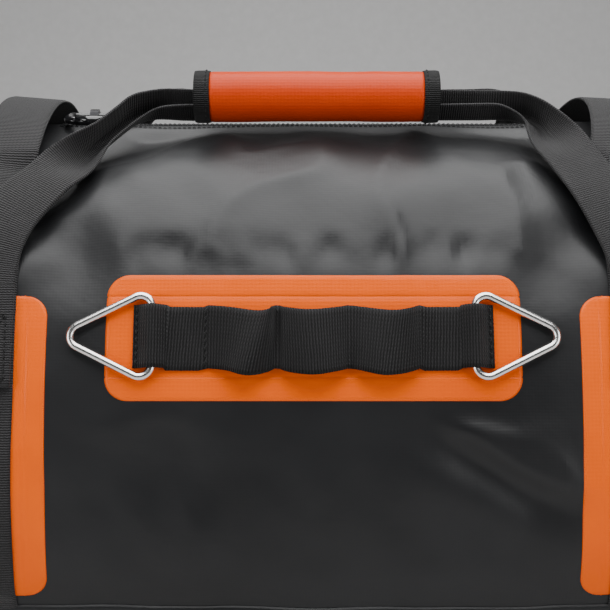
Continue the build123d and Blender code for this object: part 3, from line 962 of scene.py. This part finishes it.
def strap_point(run):
    """Depth, height and lean of the strap at a run above its sewn end, below 0 on the sewn length."""
    if run <= SIDE_RUN:
        lean = ANCHOR_LEAN + run / (SIDE_R + STRAP_LIFT)
        return *arc_point(lean, STRAP_LIFT - (0.1 * MM if run < 0 else 0)), lean
    if run <= SIDE_RUN + SHOULDER_RUN:
        lean = SIDE_TURN + (run - SIDE_RUN) / (SHOULDER_R + STRAP_LIFT)
        return *arc_point(lean, STRAP_LIFT), lean
    past = run - SIDE_RUN - SHOULDER_RUN
    return LIFT_Y - past * math.sin(LIFT_LEAN), LIFT_Z + past * math.cos(LIFT_LEAN), LIFT_LEAN


def strap_route(hand):
    """Places in the unrolled sheet on one hand, from the cut end to the middle of the grip."""
    corner_x, corner_run = TURN_X[hand], TURN_RUN[hand]
    slant = math.atan2(BAND_X - corner_x, FULL_RUN - corner_run)
    low_start = corner_run - LOW_BEND * math.tan(slant / 2)
    rest = math.radians(90) - slant
    grip_x = corner_x - HIGH_BEND * math.tan(rest / 2)
    route = [(BAND_X, run) for run in spread(-SEWN, low_start - 1 * MM, 14)]
    for a in spread(0, slant, 9):
        route.append((BAND_X - LOW_BEND * (1 - math.cos(a)), low_start + LOW_BEND * math.sin(a)))
    x0, run0 = route[-1]
    bend = []
    for a in spread(slant, math.radians(90), 15):
        bend.append((grip_x + HIGH_BEND * math.cos(a), FULL_RUN - HIGH_BEND * (1 - math.sin(a))))
    x1, run1 = bend[0]
    for t in spread(0, 1, 24)[1:-1]:
        route.append((x0 + (x1 - x0) * t, run0 + (run1 - run0) * t))
    route += bend
    route += [(x, FULL_RUN) for x in spread(grip_x, 0, 22)[1:]]
    return route


def strap_stations(side, hand):
    """Stations of one half of one handle, each with how far towards the grip it is."""
    track = strap_route(hand)
    stations = []
    for k, (x, run) in enumerate(track):
        x0, run0 = track[max(k - 1, 0)]
        x1, run1 = track[min(k + 1, len(track) - 1)]
        length = math.hypot(x1 - x0, run1 - run0)
        along, rise = (x1 - x0) / length, (run1 - run0) / length
        y, z, lean = strap_point(run)
        up = Vector((0, -side * math.sin(lean), math.cos(lean)))
        out = Vector((0, side * math.cos(lean), math.sin(lean)))
        across = Vector((rise, 0, 0)) - up * along
        centre = Vector((x, side * y, z))
        # the grip's own stretch stands on edge inside the wrap
        upright = smooth(0.86 * FULL_RUN, FULL_RUN, run)
        upright *= smooth(TURN_X[hand] + 0.02, TURN_X[hand] - 0.03, x)
        twist = Matrix.Rotation(0.9 * side * upright * (math.radians(90) - LIFT_LEAN), 3, "X")
        across, out = twist @ across, twist @ out
        if hand < 0:
            centre.x, across.x = -centre.x, -across.x
        stations.append(((centre, across, out), min(max(run / FULL_RUN, 0.0), 1.0)))
    return stations


def strap_section(share, hand, wander):
    """The strap's cross-section: flat where it is sewn, and folded lengthwise nearer the grip."""
    width = STRAP_W / 2
    start, finish, deep = ((0.62, 0.98, 150), (0.50, 0.80, 158))[hand < 0]
    fold = math.radians(deep) * smooth(start, finish, share)
    section = folded_section(width, fold, -0.12)
    bow = 0.9 * MM * smooth(0.05, 0.3, share) * (1 - smooth(start, finish, share))
    return [(a, b + bow * (1 - (u / width) ** 2) + wander * u / width, u) for a, b, u in section]


def handle_strap(side):
    """All of a handle's stations and the section at each."""
    joined = []
    for hand in (1, -1):
        half = []
        for k, (station, share) in enumerate(strap_stations(side, hand)):
            wander = 1.6 * MM * smooth(0.1, 0.4, share) * ripple(k * 0.004, hand, 0.03, 3.3 + side)
            half.append((station, strap_section(share, hand, wander)))
        # the second half runs back from the grip, whose middle the first one has
        joined += half if hand > 0 else half[-2::-1]
    return zip(*joined)


for face, side in (("front", -1), ("rear", 1)):
    stations, sections = handle_strap(side)
    strap = webbing_strip(f"{face}_handle_webbing", stations, sections, 1.6 * MM)
    dress(strap, WEB, None)
    low_y, low_z, _ = strap_point(-7 * MM)
    high_y, high_z, _ = strap_point(9 * MM)
    start, end = (0, side * low_y, low_z), (0, side * high_y, high_z)
    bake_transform(strap)
    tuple(start)
    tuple(end)
    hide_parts(f"{face}_handle_strap", f"{face}_handle_end_left", f"{face}_handle_end_right")

    def on_strap(x, run):
        y, z, lean = strap_point(run)
        out = Vector((0, side * math.cos(lean), math.sin(lean)))
        return Vector((x, side * y, z)) + out * 0.15 * MM, out

    stitches = []
    for middle in (-BAND_X, BAND_X):
        left, right = middle - 15 * MM, middle + 15 * MM
        stitches += box_stitches(on_strap, left, right, 4 * MM - SEWN, -8 * MM, 4.2 * MM)
    sew(f"{face}_handle_stitches", stitches)

# ---- grip wrap ----


def grip_point(x, turn, radius):
    """A point round the grip, a little wider than high."""
    y, z = math.cos(turn) * radius * 1.02, math.sin(turn) * radius * 0.985
    return Vector((x, y - GRIP_Y, z + GRIP_Z))


def off_grip(p):
    return p.normal.dot(p.center - Vector((p.center.x, -GRIP_Y, GRIP_Z)))


def tube(name, low_x, high_x, radius, thickness, lump, steps=40, count=64):
    """A sleeve round the grip, with a little lumpiness and softened ends."""

    def place(x, arc):
        edge = min(x - low_x, high_x - x)
        swell = lump * ripple(x * 0.8, arc, 0.03, 8.2)
        return grip_point(x, arc / radius, radius + swell - 0.4 * MM * (1 - smooth(0, 0.002, edge)))

    arcs = [2 * math.pi * radius * k / count for k in range(count)]
    made = sheet(name, spread(low_x, high_x, steps), arcs, place, ring=True)
    return thicken(turn_faces(made, off_grip), thickness)


SHIFT = 3 * MM
wrap = tube("wrap_sleeve", SHIFT - WRAP_HALF, SHIFT + WRAP_HALF, WRAP_R, 1.4 * MM, 0.7 * MM)
dress(wrap, SHADED_WRAP_ORANGE, "front_handle", ["handle_wrap"])
for end, way in ENDS:
    inner, outer = SHIFT + way * (WRAP_HALF - 1.5 * MM), SHIFT + way * (WRAP_HALF + 9.5 * MM)
    low_x, high_x = sorted((inner, outer))
    tape = tube(f"wrap_edge_{end}", low_x, high_x, WRAP_R + 0.8 * MM, 2.2 * MM, 0.3 * MM, 10)
    dress(tape, BINDING, "front_handle", [f"wrap_binding_{end}"])

    seam_x = SHIFT + way * (WRAP_HALF + 1.2 * MM)

    def on_edge(turn):
        out = Vector((0, math.cos(turn), math.sin(turn) * 0.985))
        return Vector((seam_x, -GRIP_Y, GRIP_Z)) + out * (WRAP_R + 0.9 * MM), out.normalized()

    stitches = []
    for k in range(30):
        t0, t1 = 2 * math.pi * (k + 0.15) / 30, 2 * math.pi * (k + 0.85) / 30
        stitches.append((on_edge(t0)[0], on_edge(t1)[0], on_edge((t0 + t1) / 2)[1]))
    sew(f"wrap_edge_stitches_{end}", stitches, 0.35 * MM, "front_handle")

# the overlap of the wrap, closed by hook and loop tape underneath and behind
FLAP_ARCS = [math.radians(-75 + 95 * k / 19) * WRAP_R for k in range(20)]


def on_flap(x, arc):
    share = (arc - FLAP_ARCS[0]) / (FLAP_ARCS[-1] - FLAP_ARCS[0])
    lift = 0.4 * MM + 0.9 * MM * smooth(0, 0.12, share) + 0.4 * MM * ripple(x, arc, 0.03, 2.2)
    return grip_point(x, arc / WRAP_R, WRAP_R + lift)


flap_x = spread(SHIFT - WRAP_HALF + 3 * MM, SHIFT + WRAP_HALF - 3 * MM, 30)
flap = sheet("wrap_overlap", flap_x, FLAP_ARCS, on_flap)
thicken(turn_faces(flap, off_grip), 1.1 * MM)
dress(flap, SHADED_WRAP_ORANGE, "front_handle", ["wrap_flap"])

# ---- zip ----

TAPE_S = spread(2.7 * MM, 22.4 * MM, 12)


def tape_lift(s):
    """The tapes lie under the cloth, and a little lower beside the teeth."""
    return -1.35 * MM - 0.25 * MM * smooth(0.008, 0.004, s)


ZIP_SEAMS = (SLOT_HALF + 2.6 * MM, SLOT_HALF + 7.4 * MM)

for face, sign in FACES:
    tape = sheet(
        f"zip_tape_{face}_cloth", spread(tape_low.x, tape_high.x, 90), TAPE_S,
        lambda x, s: skin(x, sign * s, tape_lift(s)), lambda x, s: (s, x),
    )
    thicken(facing_out(tape), 0.6 * MM)
    dress(tape, TAPE, "bag", [f"zip_tape_{face}"])

    def on_top(x, s):
        p = skin(x, s, 0.1 * MM)
        _, _, ny, nz = around(s)
        return p, Vector((0, ny, nz))

    stitches = []
    ends_x = (zip_slot_left - 6 * MM, zip_slot_right + 6 * MM)
    for s in ZIP_SEAMS:
        stitches += stitch_line(on_top, (ends_x[0], sign * s), (ends_x[1], sign * s), 3.6 * MM)
    for x in ends_x:
        stitches += stitch_line(on_top, (x, sign * 1.0 * MM), (x, sign * ZIP_SEAMS[1]), 3.6 * MM)
    sew(f"zip_stitches_{face}", stitches, 0.34 * MM)

# ---- end trim ----

END_Z = 190 * MM
END_PATCH_Y = 88 * MM
END_PATCH_Z = 30 * MM
GRAB_HALF = 60 * MM
TAB_END = 82 * MM
TAB_LIFT = 2.4 * MM
panel_trees = {}
for end, way in ENDS:
    data = bpy.data.objects[f"end_shell_{end}"].data
    verts = [v.co.copy() for v in data.vertices]
    polygons = [tuple(p.vertices) for p in data.polygons]
    panel_trees[way] = BVHTree.FromPolygons(verts, polygons)


def on_end(way, y, z, lift=0.0):
    """A point on the outside of an end panel, and its outward normal."""
    hit, normal, _, _ = panel_trees[way].ray_cast(Vector((way * 0.5, y, z)), Vector((-way, 0, 0)))
    if normal.x * way < 0:
        normal = -normal
    return hit + normal * lift, normal


for end, way in ENDS:

    def end_weld(y, z):
        return [min(END_PATCH_Y - abs(y), END_PATCH_Z - abs(z - END_Z)) - 5 * MM]

    patch = welded_patch(
        f"end_patch_{end}_cloth", lambda y, z, lift: on_end(way, y, z, lift)[0], 0, 2 * END_PATCH_Y,
        END_Z - END_PATCH_Z, END_Z + END_PATCH_Z, end_weld, 60, depth=0.3 * MM,
    )
    thicken(turn_faces(patch, lambda p: p.normal.x * way), PATCH_CLOTH)
    dress(patch, ORANGE, "bag", [f"end_patch_{end}"])

    # the grab handle: two sewn tabs and a loose arc between them
    tab_y = spread(GRAB_HALF, TAB_END, 7)
    far_tab = [on_end(way, y, END_Z, TAB_LIFT)[0] for y in tab_y]
    places = [on_end(way, -y, END_Z, TAB_LIFT)[0] for y in reversed(tab_y)]
    near_root = places[-1]
    for k in range(1, 30):
        t = k / 30
        level = near_root.lerp(far_tab[0], t)
        rise = 24.51 * MM * math.sin(math.pi * t) ** 0.8
        hang = 3.5 * MM * math.sin(math.pi * t)
        places.append(Vector((level.x + way * rise, GRAB_HALF * (2 * t - 1), END_Z - hang)))
    places += far_tab
    stations = []
    for k, place in enumerate(places):
        step = (places[min(k + 1, len(places) - 1)] - places[max(k - 1, 0)]).normalized()
        across = Vector((0, 0, 1)) - step * step.z
        across.normalize()
        out = step.cross(across).normalized()
        if out.x * way < 0:
            out = -out
        stations.append((place, across, out))
    bows = [1.5 * MM * math.sin(math.pi * t) for t in spread(0, 1, len(stations))]
    sections = [bowed_section(WEB_W / 2, bow) for bow in bows]
    grab = webbing_strip(f"grab_{end}_webbing", stations, sections, 1.5 * MM)
    dress(grab, WEB, "bag", [f"grab_handle_{end}"])

    def on_tab(y, z):
        return on_end(way, y, z, 2.5 * MM)

    stitches = []
    for hand in (-1, 1):
        near, far = hand * 62.5 * MM, hand * 79.5 * MM
        stitches += box_stitches(on_tab, near, far, END_Z - 16 * MM, END_Z + 16 * MM, 3.8 * MM)
    sew(f"grab_{end}_stitches", stitches)

# ---- the slider's puller: its CAD shape, a little fuller away from the slider ----

puller_cad = next(o for o in bpy.data.objects if o.get("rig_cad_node") == "zip_puller")
slider_low, slider_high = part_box("zip_slider")
slider_middle = (slider_low + slider_high) / 2
work = bmesh.new()
work.from_mesh(puller_cad.data)
work.transform(puller_cad.matrix_world)
bmesh.ops.remove_doubles(work, verts=work.verts, dist=1e-6)
work.normal_update()
fatter = []
for v in work.verts:
    off_slider = (v.co - slider_middle).length
    fatter.append(v.co + v.normal * 0.8 * MM * smooth(0.010, 0.018, off_slider))
loop_faces = [tuple(v.index for v in face.verts) for face in work.faces]
work.free()
puller = mesh_object("puller_loop", fatter, loop_faces)
dress(puller, GLOSS, "puller", ["zip_puller"])

# ---- inside: the sand pouches ----

POUCH_STEPS = 34


def pouch(name, node):
    """A sand-filled pillow in its CAD box: two humped faces whose seam pulls in between its corners."""
    low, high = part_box(node)
    centre, half = (low + high) / 2, (high - low) / 2
    sides = spread(-1, 1, POUCH_STEPS + 1)
    points, faces, uvs = [], [], []
    for face in (1, -1):
        first = len(points)
        for a in sides:
            for b in sides:
                u = a * (1 - 0.04 * (1 - b**2) * abs(a) ** 3)
                v = b * (1 - 0.055 * (1 - a**2) * abs(b) ** 3)
                hump = 0.0
                if abs(u) < 1 and abs(v) < 1:
                    hump = ((1 - abs(u) ** 2.6) * (1 - abs(v) ** 3.2)) ** 0.42
                lump = 1 + 0.10 * ripple(u * 0.1 + centre.x, v * 0.1, 0.05, 7.0 + face)
                z = face * half.z * min(hump * lump, 1.0) * 0.985
                points.append(centre + Vector((u * half.x * 0.985, v * half.y * 0.985, z)))
                uvs.append((a * half.x, b * half.y))
        for i in range(POUCH_STEPS):
            for j in range(POUCH_STEPS):
                a = first + i * len(sides) + j
                quad = (a, a + len(sides), a + len(sides) + 1, a + 1)
                faces.append(quad if face > 0 else quad[::-1])
    made = even_normals(mesh_object(name, points, faces, uvs), weld=True)
    dress(made, POUCH, "bag", [node])


for k in range(4):
    pouch(f"pouch_{k + 1}_cloth", f"sand_pouch_{k + 1}")

# ---- hard parts keep their CAD shape ----

FINISH = {
    "zip_slider": ZIP_METAL,
    "zip_puller": GLOSS,
    "zip_teeth": TEETH,
    "zip_stop": TEETH,
    "zip_tape": TAPE,
    "base_board": BOARD,
    "grip_pad": FOAM,
    "front_ring": STEEL,
    "rear_ring": STEEL,
}
for obj in bpy.data.objects:
    if "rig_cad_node" in obj:
        for start, material in FINISH.items():
            if obj["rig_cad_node"].startswith(start):
                obj.data.materials.clear()
                obj.data.materials.append(material)

# ---- floor, backdrop and light ----

STAGE = moulded("studio_sweep", (0.52, 0.515, 0.51), (0.56, 0.555, 0.55), 0.85, 0.95)
rows = []
for x in spread(-4, 4, 9):
    row = [Vector((x, y, -0.0004)) for y in spread(-4, 1.2, 8)]
    for k in range(1, 13):
        a = math.radians(90 * k / 12)
        row.append(Vector((x, 1.2 + 0.8 * math.sin(a), 0.8 - 0.8 * math.cos(a) - 0.0004)))
    row += [Vector((x, 2.0, z)) for z in (1.4, 2.4, 3.4)]
    rows.append(row)
sweep = grid_object("studio_floor", rows, [[(p.x, p.y + p.z) for p in row] for row in rows])
sweep.data.materials.append(STAGE)
turn_faces(sweep, lambda p: p.normal.z)


def area_light(name, place, target, width, depth, watts):
    light = bpy.data.lights.new(name, "AREA")
    light.shape = "RECTANGLE"
    light.size = width
    light.size_y = depth
    light.energy = watts
    obj = bpy.data.objects.new(name, light)
    obj.location = place
    obj.rotation_euler = (Vector(target) - Vector(place)).to_track_quat("-Z", "Y").to_euler()
    bpy.context.scene.collection.objects.link(obj)


area_light("top_soft_box", (0.0, -0.23, 1.45), (0, -0.23, 0.25), 1.5, 1.95, 55)
for end, way in ENDS:
    area_light(f"side_box_{end}", (way * 1.5, -1.1, 0.6), (0, -0.1, 0.2), 0.8, 1.2, 15)

world = bpy.data.worlds.new("studio")
bpy.context.scene.world = world
world.use_nodes = True
background = world.node_tree.nodes["Background"].inputs
background["Color"].default_value = (0.9, 0.92, 0.95, 1)
background["Strength"].default_value = 0.10

bpy.context.view_layer.update()
